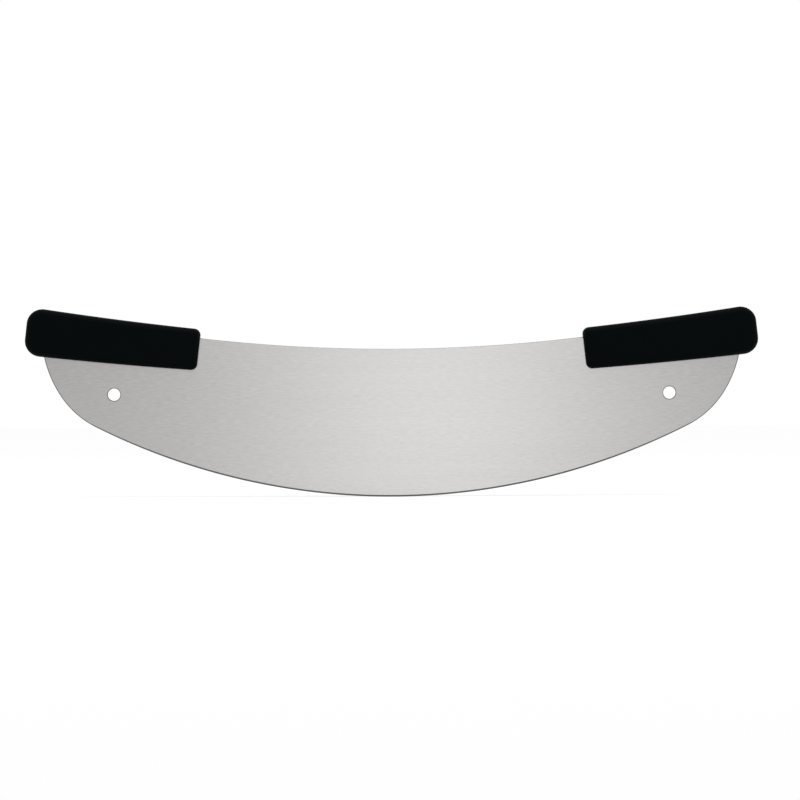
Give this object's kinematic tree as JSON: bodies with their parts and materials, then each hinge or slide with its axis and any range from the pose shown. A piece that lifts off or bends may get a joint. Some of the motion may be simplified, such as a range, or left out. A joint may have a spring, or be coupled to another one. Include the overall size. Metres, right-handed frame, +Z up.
{
  "type": "two-handled rocker pizza knife",
  "caption": "Long curved stainless blade with a moulded black handle on each end and hang holes below them, rocked by both hands to cut pizza.",
  "frame": {"origin": "midway between the centres of the two hang holes, on the blade's mid-plane", "axes": "+X along the blade to the right-hand handle, +Y from the front face to the back, +Z up from the cutting edge to the handles"},
  "size_m": [0.559, 0.02, 0.144],
  "materials": {
    "stainless_blade": "fine satin grain along the blade, ground bevel at the edge",
    "black_handle": "black moulded polypropylene, fine even texture, satin"
  },
  "bodies": {
    "root": {"blade": "stainless_blade", "left_handle": "black_handle", "right_handle": "black_handle"}
  },
  "joints": []
}
